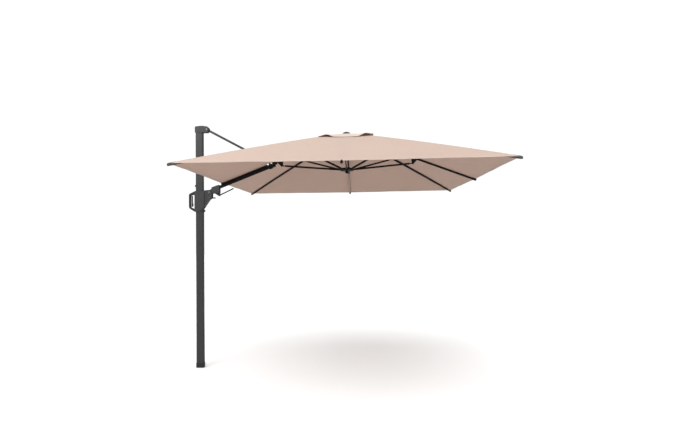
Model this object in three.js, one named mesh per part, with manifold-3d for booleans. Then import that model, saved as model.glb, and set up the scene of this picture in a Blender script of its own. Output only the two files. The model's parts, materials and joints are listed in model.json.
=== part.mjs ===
// Cantilever parasol with a square canopy, in millimetres, +Z up.
// Origin: centre of the mast's bottom face. +X points from the mast to the canopy, -Y is the front.
// A carriage slides on the mast and carries an inclined arm. A tie rod from the mast head holds the
// arm, and the ribs, struts and cloth hang from a crown at the arm's far end.

import * as THREE from 'three';
import { mergeVertices } from 'three/addons/utils/BufferGeometryUtils.js';
import Module from 'manifold-3d';

const wasm = await Module();
wasm.setup();

// ---------------------------------------------------------------- driving dimensions

const mast = { depth: 88, width: 60, wall: 3, corner: 12, top: 2836 };
const foot = { height: 54, floor: 6, skirt: 3.5 };

// Pivots of the lifting linkage, as [x, z] in the mast's middle plane.
const headPivot = { x: 95, z: 2823 };
const tiePivot = { x: 840, z: 2416 };

// Canopy: a square pyramid of cloth, with a slightly raised corner.
const canopy = { reach: 1762, half: 1500, apex: 2750, midHem: 2180, cornerRise: 7 };
const cloth = { thickness: 2, opening: 200, rows: 12, slit: { length: 58, width: 48 } };
const vent = { apex: 2746, slope: 0.34, half: 310, hole: 9, thickness: 2 };

// Ribs and struts: hinge circles of the crown and the runner, and where the struts meet the ribs.
const crown = { hingeRadius: 50, hingeZ: 2722, radius: 62 };
const runner = { hingeRadius: 76, hingeZ: 2315, radius: 84, halfHeight: 13 };
const rib = { width: 18, above: 7, below: 14, wall: 1.6, drop: 10, tongue: 10, start: 18.5, overhang: 2 };
const mastRibBelow = 7;
const arch = { rib: 11, cloth: 12, steps: 12 };
const clip = { width: 26, pin: 3, play: 0.9, roof: 2 };
const midClip = { at: 798, drop: 68, shoulder: 17, nose: 12, heel: 3 };
const cornerClip = { at: 764, drop: 12.4, shoulder: 14, nose: 9, heel: 8 };
const strut = { width: 12, height: 20, wall: 1.6, tongue: 8, eye: 6.5, outerWeb: 40, innerWeb: 20 };

// Arm: a round tube under the mast-side rib. Stations are measured from the collar end.
const arm = { length: 1721, radius: 19, wall: 2, ribOffset: 26.3, start: 66, end: 850 };
const shoulderDrop = 17;
const cord = { radius: 2.2, offset: 14 };
const ring = { start: 775, end: 819, radius: 30, bore: 23 };

const gap = 0.3;
const pinRadius = 6;
const filletSegments = 2;
const fineRound = 24;

// Slopes of the ribs that follow from the cloth's heights.
const midDrop = canopy.apex - canopy.midHem;
const clothSlope = midDrop / canopy.half;
const midSlope = Math.atan(
  (crown.hingeZ - canopy.midHem + rib.drop / Math.cos(Math.atan(clothSlope)))
  / (canopy.half - crown.hingeRadius),
);
const cornerReach = canopy.half * Math.SQRT2;
const cornerHem = canopy.midHem + canopy.cornerRise;
const cornerSlope = Math.atan(
  (crown.hingeZ - cornerHem + rib.drop / Math.cos(Math.atan((canopy.apex - cornerHem) / cornerReach)))
  / (cornerReach - crown.hingeRadius),
);

// The taut cloth bends the long corner ribs into a shallow arch: the height at a share of their length.
const archRise = (height, share) => 4 * height * share * (1 - share);

// ---------------------------------------------------------------- materials

function finish(color, roughness, metalness) {
  return new THREE.MeshStandardMaterial({ color, roughness, metalness });
}

const tubePaint = finish(0x4a4b4d, 0.5, 0.6);
const castPaint = finish(0x55565a, 0.55, 0.5);
const frameBlack = finish(0x2a2a2c, 0.5, 0.5);
const darkPlastic = finish(0x2f3032, 0.6, 0);
const nylon = finish(0x8a8b8e, 0.5, 0);
const steel = finish(0x9a9b9e, 0.35, 0.9);
const cordFibre = finish(0x6e6a66, 0.9, 0);
const canvas = finish(0xd9c7ba, 0.95, 0);

// ---------------------------------------------------------------- solids

function toSolid(geometry) {
  const bare = geometry.clone();
  bare.deleteAttribute('normal');
  bare.deleteAttribute('uv');
  const merged = mergeVertices(bare, 1e-4);
  return new wasm.Manifold(new wasm.Mesh({
    numProp: 3,
    vertProperties: new Float32Array(merged.attributes.position.array),
    triVerts: new Uint32Array(merged.index.array),
  }));
}

function toGeometry(solid) {
  const { vertProperties, triVerts } = solid.getMesh();
  const geometry = new THREE.BufferGeometry();
  geometry.setAttribute('position', new THREE.BufferAttribute(vertProperties, 3));
  geometry.setIndex(new THREE.BufferAttribute(triVerts, 1));
  return geometry;
}

function join(first, ...others) {
  return others.reduce((whole, piece) => whole.add(piece), first);
}

function cut(base, ...tools) {
  return tools.reduce((rest, tool) => rest.subtract(tool), base);
}

// Closed outline through corners given as [x, y, fillet radius].
function outline(corners) {
  const shape = new THREE.Shape();
  corners.forEach(([x, y, radius = 0], i) => {
    const corner = new THREE.Vector2(x, y);
    const toPrevious = new THREE.Vector2(...corners.at(i - 1)).sub(corner).normalize();
    const toNext = new THREE.Vector2(...corners[(i + 1) % corners.length]).sub(corner).normalize();
    const inset = radius / Math.tan(Math.acos(toPrevious.dot(toNext)) / 2);
    const start = corner.clone().addScaledVector(toPrevious, inset);
    const end = corner.clone().addScaledVector(toNext, inset);
    if (i === 0) {
      shape.moveTo(start.x, start.y);
    } else {
      shape.lineTo(start.x, start.y);
    }
    if (radius > 0) {
      shape.quadraticCurveTo(x, y, end.x, end.y);
    }
  });
  shape.closePath();
  return shape;
}

function roundedRectangle(width, height, radius) {
  const x = width / 2;
  const y = height / 2;
  return outline([[-x, -y, radius], [x, -y, radius], [x, y, radius], [-x, y, radius]]);
}

function extrusion(shape, from, to, steps = 1) {
  const options = { depth: to - from, steps, bevelEnabled: false, curveSegments: filletSegments };
  return new THREE.ExtrudeGeometry(shape, options).translate(0, 0, from);
}

// Bar upright along z, from an outline in x and y.
function upright(shape, from, to) {
  return toSolid(extrusion(shape, from, to));
}

// Bar along x, from an outline whose first axis is y and whose second is z. An arched bar rises by riseAt(x).
function lengthwise(shape, from, to, riseAt = null) {
  const turn = new THREE.Matrix4().makeBasis(
    new THREE.Vector3(0, 1, 0),
    new THREE.Vector3(0, 0, 1),
    new THREE.Vector3(1, 0, 0),
  );
  const geometry = extrusion(shape, from, to, riseAt ? arch.steps : 1).applyMatrix4(turn);
  const position = geometry.attributes.position;
  for (let i = 0; riseAt && i < position.count; i += 1) {
    position.setZ(i, position.getZ(i) + riseAt(position.getX(i)));
  }
  return toSolid(geometry);
}

// Plate of a given thickness across y, centred on a y, from an outline in x and z.
function plate(shape, thickness, y = 0) {
  const geometry = extrusion(shape, -thickness / 2, thickness / 2).rotateX(Math.PI / 2);
  return toSolid(geometry.translate(0, y, 0));
}

// Facets of a round bar or bore, fewer on a thin one.
function facets(radius) {
  if (radius < 5) {
    return 10;
  }
  return radius < 12 ? 16 : fineRound;
}

function block([x0, x1], [y0, y1], [z0, z1]) {
  const geometry = new THREE.BoxGeometry(x1 - x0, y1 - y0, z1 - z0);
  return toSolid(geometry.translate((x0 + x1) / 2, (y0 + y1) / 2, (z0 + z1) / 2));
}

// Round bar across y, through the point [x, z].
function crossBar(radius, length, x, z, y = 0) {
  const geometry = new THREE.CylinderGeometry(radius, radius, length, facets(radius));
  return toSolid(geometry.translate(x, y, z));
}

// Round bar along x.
function roundBar(radius, from, to) {
  const geometry = new THREE.CylinderGeometry(radius, radius, to - from, facets(radius));
  return toSolid(geometry.rotateZ(Math.PI / 2).translate((from + to) / 2, 0, 0));
}

function roundTube(outer, inner, from, to) {
  return cut(roundBar(outer, from, to), roundBar(inner, from - 1, to + 1));
}

// Body turned about z, from a profile of [radius, z] points that rises or closes on itself.
function turned(profile, segments = fineRound) {
  const points = profile.map(([radius, z]) => new THREE.Vector2(radius, z));
  return toSolid(new THREE.LatheGeometry(points, segments).rotateX(Math.PI / 2));
}

// Headed pin across y, through the point [x, z]. The grip is the distance between its heads.
function headedPin(radius, grip, x, z, head = { radius: 9, height: 3.2 }) {
  const half = grip / 2;
  const tip = half + head.height;
  const profile = [
    [0, -tip], [head.radius - 1, -tip], [head.radius, -tip + 1], [head.radius, -half],
    [radius, -half], [radius, half],
    [head.radius, half], [head.radius, tip - 1], [head.radius - 1, tip], [0, tip],
  ];
  return turned(profile, facets(radius)).rotate([90, 0, 0]).translate([x, 0, z]);
}

// ---------------------------------------------------------------- scene graph

const parasol = new THREE.Group();

function add(parent, name, solid, material) {
  const mesh = new THREE.Mesh(toGeometry(solid), material);
  mesh.name = name;
  parent.add(mesh);
  return mesh;
}

function frame(parent, x, z, pitch = 0) {
  const group = new THREE.Group();
  group.position.set(x, 0, z);
  group.rotation.y = pitch;
  parent.add(group);
  return group;
}

// ---------------------------------------------------------------- mast

function footSleeve() {
  const outer = roundedRectangle(mast.depth + 2 * foot.skirt, mast.width + 2 * foot.skirt, mast.corner + 3);
  const pocket = roundedRectangle(mast.depth + 2 * gap, mast.width + 2 * gap, mast.corner);
  return cut(upright(outer, 0, foot.height), upright(pocket, foot.floor, foot.height + 1));
}

function mastTube() {
  const outer = roundedRectangle(mast.depth, mast.width, mast.corner);
  const inside = mast.corner - mast.wall;
  const bore = roundedRectangle(mast.depth - 2 * mast.wall, mast.width - 2 * mast.wall, inside);
  const bottom = foot.floor + gap;
  return cut(upright(outer, bottom, mast.top), upright(bore, bottom - 1, mast.top + 1));
}

const headCap = { width: 68, bottom: 2790, slot: 11.6 };

function headCasting() {
  const side = outline([
    [-48, headCap.bottom, 3], [97, headCap.bottom, 12], [116, 2806, 10], [117, 2838, 14],
    [102, 2859, 16], [36, 2869, 40], [-48, 2862, 14],
  ]);
  const pocket = roundedRectangle(mast.depth + 2 * gap, mast.width + 2 * gap, mast.corner);
  return cut(
    plate(side, headCap.width),
    upright(pocket, headCap.bottom - 1, mast.top + gap),
    block([60, 140], [-headCap.slot, headCap.slot], [headCap.bottom - 5, 2846]),
    crossBar(pinRadius + 0.4, headCap.width + 2, headPivot.x, headPivot.z),
  );
}

function stopLug() {
  const face = mast.depth / 2 + gap;
  const side = outline([[-face, 2136], [-face, 2166], [-face - 12, 2160, 4], [-face - 12, 2142, 4]]);
  return plate(side, 28);
}

add(parasol, 'foot_sleeve', footSleeve(), darkPlastic);
add(parasol, 'mast_tube', mastTube(), tubePaint);
add(parasol, 'head_cap', headCasting(), castPaint);
add(parasol, 'head_pin', headedPin(pinRadius, headCap.width + 2 * gap, headPivot.x, headPivot.z), steel);
add(parasol, 'stop_lug', stopLug(), darkPlastic);

// ---------------------------------------------------------------- tie rod

const tie = { width: 36, height: 26, wall: 2, start: 50, tail: 42, eye: 20, tine: 6, tineGap: 18 };
const tieLength = Math.hypot(tiePivot.x - headPivot.x, headPivot.z - tiePivot.z);
const tieSlope = Math.atan2(headPivot.z - tiePivot.z, tiePivot.x - headPivot.x);
const tieEnd = tieLength - tie.tail;

function tieTube() {
  const outer = roundedRectangle(tie.width, tie.height, 8);
  const bore = roundedRectangle(tie.width - 2 * tie.wall, tie.height - 2 * tie.wall, 6);
  return cut(lengthwise(outer, tie.start, tieEnd), lengthwise(bore, tie.start - 1, tieEnd + 1));
}

// Stub that fills a tube's bore and stops just short of its walls.
function tiePlug(from, to) {
  const width = tie.width - 2 * (tie.wall + gap);
  const height = tie.height - 2 * (tie.wall + gap);
  return lengthwise(roundedRectangle(width, height, 5.5), from, to);
}

function tieEye() {
  const neck = block([0, tie.start + 6], [-tie.eye / 2, tie.eye / 2], [-tie.height / 2, tie.height / 2 - 1]);
  const shortNeck = cut(neck, block([tie.start - gap, tie.start + 10], [-20, 20], [-20, 20]));
  return cut(
    join(crossBar(14, tie.eye, 0, 0), shortNeck, tiePlug(tie.start - 6, tie.start + 28)),
    crossBar(pinRadius + 0.5, tie.eye + 2, 0, 0),
  );
}

function tieFork() {
  const root = lengthwise(roundedRectangle(tie.width, tie.height, 8), tieEnd + gap, tieLength - 22);
  const tineY = (tie.tineGap + tie.tine) / 2;
  const tines = [-tineY, tineY].map((y) => join(
    crossBar(12, tie.tine, tieLength, 0, y),
    block([tieLength - 30, tieLength], [y - tie.tine / 2, y + tie.tine / 2], [-12, 12]),
  ));
  return cut(
    join(root, ...tines, tiePlug(tieEnd - 30, tieEnd + 2)),
    crossBar(pinRadius + 0.5, tie.width, tieLength, 0),
  );
}

const tieFrame = frame(parasol, headPivot.x, headPivot.z, tieSlope);
add(tieFrame, 'tie_rod_eye', tieEye(), castPaint);
add(tieFrame, 'tie_rod_tube', tieTube(), tubePaint);
add(tieFrame, 'tie_rod_fork', tieFork(), castPaint);
add(tieFrame, 'tie_pin', headedPin(pinRadius, tie.tineGap + 2 * tie.tine + 2 * gap, tieLength, 0), steel);

// ---------------------------------------------------------------- ribs, clips and struts

const slopeOf = (isCorner) => (isCorner ? cornerSlope : midSlope);
const hemReach = (isCorner) => (isCorner ? cornerReach : canopy.half);
const ribLength = (isCorner) => (
  (hemReach(isCorner) - crown.hingeRadius) / Math.cos(slopeOf(isCorner)) + rib.overhang
);

// Bar along a rib, set in from the rib's faces. The top face keeps its height on ribs of any depth.
function ribBar(below, inset, from, to, riseAt) {
  const height = rib.above + below - 2 * inset;
  const section = roundedRectangle(rib.width - 2 * inset, height, Math.max(3 - inset, 1.5));
  return lengthwise(section, from, to, riseAt).translate([0, 0, (rib.above - below) / 2]);
}

// Rib along x from its crown hinge, hollow from its outer end up to the flat tongue.
function ribSolid(length, below, riseAt) {
  const tongue = block([0, 26], [-rib.tongue / 2, rib.tongue / 2], [-5.5, 5.5]);
  return cut(
    join(ribBar(below, 0, rib.start, length, riseAt), tongue, crossBar(5.5, rib.tongue, 0, 0)),
    ribBar(below, rib.wall, 32, length + 1, riseAt),
    crossBar(2.8, rib.tongue + 2, 0, 0),
  );
}

function ribSleeve(from, to) {
  return cut(ribBar(mastRibBelow, 0, from, to), ribBar(mastRibBelow, rib.wall, from - 1, to + 1));
}

// Saddle over the rib, which lies higher on an arched one. Its cheeks hang down to the strut's pin.
function clipSolid({ at, drop, shoulder, nose, heel }, below, rise) {
  const top = rise + rib.above + clip.roof;
  const edge = rise - shoulder;
  const side = outline([
    [at - 34, top, 3], [at - 34, edge, 3], [at - 11, -drop - heel, 7], [at + 9, -drop - nose, 7],
    [at + 14, -drop + 4, 6], [at + 34, edge, 3], [at + 34, top, 3],
  ]);
  const channel = roundedRectangle(rib.width + 2 * gap, rib.above + below + 2 * clip.play, 2.8);
  const slot = block(
    [at - 60, at + 60],
    [-strut.width / 2 - 1.5, strut.width / 2 + 1.5],
    [-drop - 20, rise - below],
  );
  const tunnel = lengthwise(channel, at - 60, at + 60).translate([0, 0, rise + (rib.above - below) / 2]);
  return join(cut(plate(side, clip.width), tunnel, slot), crossBar(clip.pin, clip.width - 4, at, -drop));
}

// Channel-shaped strut along x from the clip's pin to the runner, open on its upper side.
function strutSolid(length) {
  const halfWidth = strut.width / 2;
  const halfHeight = strut.height / 2;
  const inside = halfWidth - strut.wall;
  const bar = block(
    [strut.outerWeb, length - strut.innerWeb],
    [-halfWidth, halfWidth],
    [-halfHeight, halfHeight],
  );
  const ends = [0, length].map((x) => crossBar(strut.eye, strut.tongue, x, 0));
  const web = block([0, length], [-strut.tongue / 2, strut.tongue / 2], [-strut.eye + 0.8, strut.eye - 0.8]);
  const trough = block(
    [strut.outerWeb + 12, length - strut.innerWeb - 12],
    [-inside, inside],
    [-halfHeight + strut.wall, halfHeight + 1],
  );
  const holes = [0, length].map((x) => crossBar(clip.pin + 0.5, strut.width + 2, x, 0));
  return cut(join(bar, web, ...ends), trough, ...holes);
}

// Pin of a clip in the plane of its rib, as its distance from the crown's axis and its height.
function clipPin({ at, drop }, slope) {
  return {
    radius: crown.hingeRadius + at * Math.cos(slope) - drop * Math.sin(slope),
    z: crown.hingeZ - at * Math.sin(slope) - drop * Math.cos(slope),
  };
}

const sides = ['outer', 'outer_back', 'back', 'mast_back', 'mast', 'mast_front', 'front', 'outer_front'];

sides.forEach((side, i) => {
  const isCorner = i % 2 === 1;
  const spoke = new THREE.Group();
  spoke.position.set(canopy.reach, 0, 0);
  spoke.rotation.z = i * Math.PI / 4;
  parasol.add(spoke);

  const slope = slopeOf(isCorner);
  const ribFrame = frame(spoke, crown.hingeRadius, crown.hingeZ, slope);
  const length = ribLength(isCorner);
  const riseAt = (x) => archRise(isCorner ? arch.rib : 0, x / length);
  const below = side === 'mast' ? mastRibBelow : rib.below;
  if (side === 'mast') {
    add(ribFrame, 'rib_mast_inner', ribSolid(arm.length - ring.end - 13, below), frameBlack);
    add(ribFrame, 'rib_mast_outer', ribSleeve(arm.length - ring.start + 7, length), frameBlack);
  } else {
    add(ribFrame, `rib_${side}`, ribSolid(length, below, isCorner ? riseAt : null), frameBlack);
  }
  const fitting = isCorner ? cornerClip : midClip;
  const pin = clipPin(fitting, slope);
  add(ribFrame, `clip_${side}`, clipSolid(fitting, below, riseAt(fitting.at)), darkPlastic);

  const run = runner.hingeRadius - pin.radius;
  const fall = pin.z - runner.hingeZ;
  const strutFrame = frame(spoke, pin.radius, pin.z, Math.PI - Math.atan2(fall, -run));
  const turnedStrut = strutSolid(Math.hypot(run, fall)).rotate([180, 0, 0]);
  add(strutFrame, `strut_${side}`, turnedStrut, frameBlack);
});

// ---------------------------------------------------------------- crown and cloth

const crownFrame = frame(parasol, canopy.reach, crown.hingeZ);

function spokes(count, make) {
  return Array.from({ length: count }, (_, i) => make().rotate([0, 0, i * 360 / count]));
}

// Round wire bent to the crown's hinge circle.
function ringSolid(wireRadius) {
  return toSolid(new THREE.TorusGeometry(crown.hingeRadius, wireRadius, 6, 32));
}

function crownHub() {
  const body = turned([[0, -16], [54, -16], [crown.radius, -9], [crown.radius, 1.5], [14, 17], [0, 18.5]]);
  const slots = spokes(8, () => block([40, 90], [-rib.tongue / 2 - 0.8, rib.tongue / 2 + 0.8], [-30, 6.2]));
  const groove = ringSolid(2.6);
  const cordHole = new THREE.CylinderGeometry(4, 4, 60, 12).rotateX(Math.PI / 2);
  return cut(body, ...slots, groove, toSolid(cordHole.translate(-cord.offset, 0, 0)));
}

function topFinial() {
  const z = vent.apex - crown.hingeZ;
  return turned([
    [0, z - 5], [7, z - 5], [7, z + 3.5], [44, z - 5], [46, z - 2], [36, z + 7], [16, z + 14], [0, z + 16],
  ]);
}

// Height of the cloth over the corner ribs above the plain pyramid, at a distance from the axis along a side.
function cornerLift(radius) {
  const share = (radius * Math.SQRT2 - crown.hingeRadius) / (cornerReach - crown.hingeRadius);
  return canopy.cornerRise * radius / canopy.half + archRise(arch.cloth, Math.max(share, 0));
}

// Square ring of cloth: an eight-sided turned sheet whose corners are pulled out to the square.
function squareSheet(profile) {
  const points = [...profile, profile[0]].map(([radius, z]) => new THREE.Vector2(radius, z));
  const geometry = new THREE.LatheGeometry(points, 8).rotateX(Math.PI / 2);
  const position = geometry.attributes.position;
  for (let i = 0; i < position.count; i += 1) {
    const vertex = new THREE.Vector3().fromBufferAttribute(position, i);
    const radius = Math.hypot(vertex.x, vertex.y);
    const onCorner = Math.min(Math.abs(vertex.x), Math.abs(vertex.y)) > radius / 4;
    if (onCorner) {
      position.setXYZ(i, vertex.x * Math.SQRT2, vertex.y * Math.SQRT2, vertex.z + cornerLift(radius));
    }
  }
  return toSolid(geometry);
}

function mainCloth() {
  const under = (radius) => canopy.apex - clothSlope * radius - crown.hingeZ;
  const rows = Array.from({ length: cloth.rows + 1 }, (_, i) => (
    cloth.opening + (canopy.half - cloth.opening) * i / cloth.rows
  ));
  const underside = rows.map((radius) => [radius, under(radius)]);
  const topside = rows.map((radius) => [radius, under(radius) + cloth.thickness]).reverse();
  const sheet = squareSheet([...underside, ...topside]);
  const slitX = tiePivot.x - canopy.reach;
  const slit = block(
    [slitX - cloth.slit.length / 2, slitX + cloth.slit.length / 2],
    [-cloth.slit.width / 2, cloth.slit.width / 2],
    [-400, -200],
  );
  return cut(sheet, slit);
}

function ventCloth() {
  const under = (radius) => vent.apex - vent.slope * radius - crown.hingeZ;
  return squareSheet([
    [vent.hole, under(vent.hole)],
    [vent.half, under(vent.half)],
    [vent.half, under(vent.half) + vent.thickness],
    [vent.hole, under(vent.hole) + vent.thickness],
  ]);
}

add(crownFrame, 'crown_hub', crownHub(), castPaint);
add(crownFrame, 'crown_ring', ringSolid(2), steel);
add(crownFrame, 'top_finial', topFinial(), castPaint);
add(crownFrame, 'canopy_fabric', mainCloth(), canvas);
add(crownFrame, 'vent_fabric', ventCloth(), canvas);

// ---------------------------------------------------------------- runner and hoist cord

const runnerFrame = frame(parasol, canopy.reach, runner.hingeZ);

function runnerHub() {
  const h = runner.halfHeight;
  const body = turned([
    [8, -h - 3], [40, -h - 3], [runner.radius - 4, -h], [runner.radius, -h + 4],
    [runner.radius, h - 4], [runner.radius - 4, h], [34, h + 4], [8, h + 4], [8, -h - 3],
  ]);
  const notches = spokes(8, () => block([52, 120], [-6.2, 6.2], [-40, 40]));
  return cut(body, ...notches);
}

function runnerKnob() {
  const h = runner.halfHeight;
  return turned([
    [0, -46], [12, -45], [18, -39], [20, -30], [18, -h - 6], [14, -h - 3.4],
    [7.5, -h - 3.4], [7.5, h + 4], [0, h + 4],
  ]);
}

function hoistCord() {
  const bottom = runner.halfHeight + 4.6;
  const top = crown.hingeZ - runner.hingeZ - 16.6;
  const geometry = new THREE.CylinderGeometry(cord.radius, cord.radius, top - bottom, 12);
  return toSolid(geometry.rotateX(Math.PI / 2).translate(-cord.offset, 0, (top + bottom) / 2));
}

add(runnerFrame, 'runner_hub', runnerHub(), darkPlastic);
add(runnerFrame, 'runner_knob', runnerKnob(), darkPlastic);
add(runnerFrame, 'hoist_cord', hoistCord(), cordFibre);

// ---------------------------------------------------------------- arm, swivel ring and collar

// The arm's axis runs parallel to the mast-side rib, ribOffset below its centre line.
const crownHinge = { x: canopy.reach - crown.hingeRadius, z: crown.hingeZ };
const armStart = {
  x: crownHinge.x - arm.length * Math.cos(midSlope) + arm.ribOffset * Math.sin(midSlope),
  z: crownHinge.z - arm.length * Math.sin(midSlope) - arm.ribOffset * Math.cos(midSlope),
};
const armFrame = frame(parasol, armStart.x, armStart.z, -midSlope);

// A point of the mast's middle plane in the arm's own axes.
function inArm({ x, z }) {
  const dx = x - armStart.x;
  const dz = z - armStart.z;
  return {
    u: dx * Math.cos(midSlope) + dz * Math.sin(midSlope),
    w: dz * Math.cos(midSlope) - dx * Math.sin(midSlope),
  };
}

const tieInArm = inArm(tiePivot);

function swivelRing() {
  const ear = join(
    block([tieInArm.u - 12, tieInArm.u + 12], [-8, 8], [20, tieInArm.w]),
    crossBar(12, 16, tieInArm.u, tieInArm.w),
  );
  return cut(
    join(roundBar(ring.radius, ring.start, ring.end), ear),
    roundBar(ring.bore, ring.start - 1, ring.end + 1),
    crossBar(pinRadius + 0.5, 20, tieInArm.u, tieInArm.w),
  );
}

// Casting at the arm's upper end that clamps the tube and carries the inner rib on its back.
function armEndFitting() {
  const from = ring.end + 7;
  const side = outline([
    [from, 15], [from, 35, 4], [from + 62, 35, 4], [from + 62, 12, 4], [from + 42, -8, 8], [from + 38, 0],
  ]);
  const socket = roundBar(23, from, arm.end + 6);
  const saddle = roundedRectangle(rib.width + 2 * gap, rib.above + mastRibBelow + 2 * gap, 2.8);
  const channel = lengthwise(saddle, from - 10, from + 90);
  return cut(
    join(socket, plate(side, 25)),
    roundBar(arm.radius + gap, from - 1, arm.end + gap),
    channel.translate([0, 0, arm.ribOffset]),
  );
}

const collar = { width: 58, bore: 22.4, seat: 62, tongue: 37, leverPivot: { u: 101, w: -90 }, cheekGap: 14 };

function collarHousing() {
  const housing = outline([
    [50, 30, 8], [36, 6, 6], [36, -40, 8], [62, -55, 6],
    [90, -98, 7], [107, -98, 7], [117, -54, 8], [146, 27, 7],
  ].reverse());
  const tongue = outline([[0, 10], [0, -44], [40, -44], [60, -50], [60, 22], [40, 14]].reverse());
  const lever = collar.leverPivot;
  return cut(
    join(
      plate(housing, collar.width),
      plate(tongue, collar.tongue),
      crossBar(27, collar.tongue, 0, -shoulderDrop),
    ),
    roundBar(collar.bore, collar.seat, 200),
    block([80, 140], [-collar.cheekGap / 2, collar.cheekGap / 2], [-120, -70]),
    crossBar(3.4, collar.width + 2, lever.u, lever.w),
    crossBar(7.4, collar.width, 0, -shoulderDrop),
    ...[-1, 1].map((s) => block([70, 130], [14 * s, 40 * s].sort((a, b) => a - b), [-120, -60])),
  );
}

const tiltLever = { reach: 184, rise: 15, thickness: 12 };

function tiltLeverSolid() {
  const { u, w } = collar.leverPivot;
  const half = tiltLever.thickness / 2;
  const grip = outline([
    [u, w - half], [u + tiltLever.reach - 14, w + tiltLever.rise - half - 3, 20],
    [u + tiltLever.reach, w + tiltLever.rise - half, 4], [u + tiltLever.reach, w + tiltLever.rise + half, 4],
    [u + tiltLever.reach - 14, w + tiltLever.rise + half - 3, 20], [u, w + half],
  ]);
  return cut(join(plate(grip, 12), crossBar(7, 12, u, w)), crossBar(3.4, 14, u, w));
}

function tiltLeverPin() {
  return headedPin(3, 28.6, collar.leverPivot.u, collar.leverPivot.w, { radius: 5, height: 2 });
}

add(armFrame, 'arm_tube', roundTube(arm.radius, arm.radius - arm.wall, arm.start, arm.end), frameBlack);
add(armFrame, 'arm_bush', roundTube(22, arm.radius + 0.4, collar.seat + 8, 112), nylon);
add(armFrame, 'arm_end_fitting', armEndFitting(), frameBlack);
add(armFrame, 'swivel_ring', swivelRing(), frameBlack);
add(armFrame, 'swivel_bush', roundTube(22.6, arm.radius + 0.4, ring.start - 1.5, ring.end + 1.5), nylon);
add(armFrame, 'collar_housing', collarHousing(), castPaint);
add(armFrame, 'tilt_lever', tiltLeverSolid(), darkPlastic);
add(armFrame, 'tilt_lever_pin', tiltLeverPin(), steel);

// ---------------------------------------------------------------- carriage

const shoulder = {
  x: armStart.x + shoulderDrop * Math.sin(midSlope),
  z: armStart.z - shoulderDrop * Math.cos(midSlope),
};
const carriage = { left: -54, right: 62, top: 2087, bottom: 1842, width: 76, cheeks: 58, slot: 39.6 };
const guide = { left: -51, right: 57, halfWidth: 34, height: 24 };

function carriageBody() {
  const { left, right, top, bottom } = carriage;
  const housing = outline([
    [left, bottom, 4], [12, bottom, 8], [right, 1902, 10], [right, top, 4], [left, top, 4],
  ]);
  const nose = outline([
    [40, 1870], [52, 1887], [shoulder.x + 3, 1986, 6], [shoulder.x + 32, 2004, 8],
    [shoulder.x + 32, 2074, 26], [shoulder.x + 20, 2101, 20], [70, 2097, 10], [40, 2080],
  ]);
  const guideX = (guide.left + guide.right) / 2;
  const channel = roundedRectangle(guide.right - guide.left, 2 * guide.halfWidth, mast.corner);
  const clevis = outline([[68, 2120], [68, 2032, 8], [94, 2024, 8], [220, 2024], [220, 2120]].reverse());
  return cut(
    join(plate(housing, carriage.width), plate(nose, carriage.cheeks)),
    upright(channel, bottom - 1, top + 30).translate([guideX, 0, 0]),
    plate(clevis, carriage.slot),
    crossBar(7.4, carriage.cheeks + 2, shoulder.x, shoulder.z),
    block([96, 220], [-8, 8], [1992, 2025]),
    crossBar(3.4, carriage.cheeks + 2, lockTrigger.x, lockTrigger.z),
  );
}

// Nylon frame that fills the carriage's guide and leaves the mast its running clearance.
function glide(from, to) {
  const length = guide.right - guide.left - 2 * gap;
  const outer = roundedRectangle(length, 2 * (guide.halfWidth - gap), mast.corner);
  const travel = { left: -50, right: 51 };
  const inner = roundedRectangle(travel.right - travel.left, mast.width + 1.2, mast.corner);
  return cut(
    upright(outer, from, to).translate([(guide.left + guide.right) / 2, 0, 0]),
    upright(inner, from - 1, to + 1).translate([(travel.left + travel.right) / 2, 0, 0]),
  );
}

const handle = { width: 30, plate: 6 };

function handleFrame() {
  const right = carriage.left - gap;
  const outer = outline([
    [right, 2087, 2], [right - 8, 2087, 4], [-124, 2058, 12], [-130, 2040, 8], [-130, 1902, 8],
    [-124, 1884, 12], [right - 8, 1843, 4], [right, 1843, 2],
  ]);
  const inside = right - handle.plate;
  const opening = outline([
    [inside, 2052, 8], [-108, 2036, 10], [-108, 1896, 10], [inside, 1874, 8],
  ]);
  return cut(plate(outer, handle.width), plate(opening, handle.width + 2));
}

const releaseLever = { x: -92, z: 2026, length: 124 };

// Squeeze bar behind the grip. Its trunnions turn in the handle's cheeks.
function releaseBar() {
  const { x, z, length } = releaseLever;
  const bar = outline([
    [x - 4.5, z, 3], [x + 4.5, z, 3], [x + 4.5, z - length * 0.6, 6], [x + 12, z - length * 0.82, 6],
    [x + 3, z - length, 4], [x - 4.5, z - length, 3],
  ].reverse());
  return join(plate(bar, 16), crossBar(6, 16, x, z));
}

const lockTrigger = { x: 120, z: 2008, tip: 189 };

// Catch under the shoulder: a thumb piece in front and a short tail inside the nose.
function triggerSolid() {
  const { x, z, tip } = lockTrigger;
  const side = outline([
    [x - 4, z + 6, 3], [x - 4, z - 7, 3], [x + 30, z - 8, 6], [tip - 12, z - 11, 6],
    [tip, z - 9, 5], [tip, z + 3, 5], [x + 34, z + 4, 6],
  ]);
  return cut(join(plate(side, 14), crossBar(7.5, 14, x, z)), crossBar(3.4, 16, x, z));
}

add(parasol, 'carriage_body', carriageBody(), castPaint);
add(parasol, 'upper_glide', glide(carriage.top - guide.height, carriage.top + 3), nylon);
add(parasol, 'lower_glide', glide(carriage.bottom - 2, carriage.bottom + guide.height), nylon);
add(parasol, 'handle', handleFrame(), darkPlastic);
add(parasol, 'release_lever', releaseBar(), darkPlastic);
add(parasol, 'lock_trigger', triggerSolid(), darkPlastic);
const cheekGrip = carriage.cheeks + 2 * gap;
const triggerPin = headedPin(3, cheekGrip, lockTrigger.x, lockTrigger.z, { radius: 5, height: 2 });
const shoulderPin = headedPin(7, cheekGrip, shoulder.x, shoulder.z, { radius: 12, height: 4 });
add(parasol, 'trigger_pin', triggerPin, steel);
add(parasol, 'shoulder_pin', shoulderPin, steel);

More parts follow.
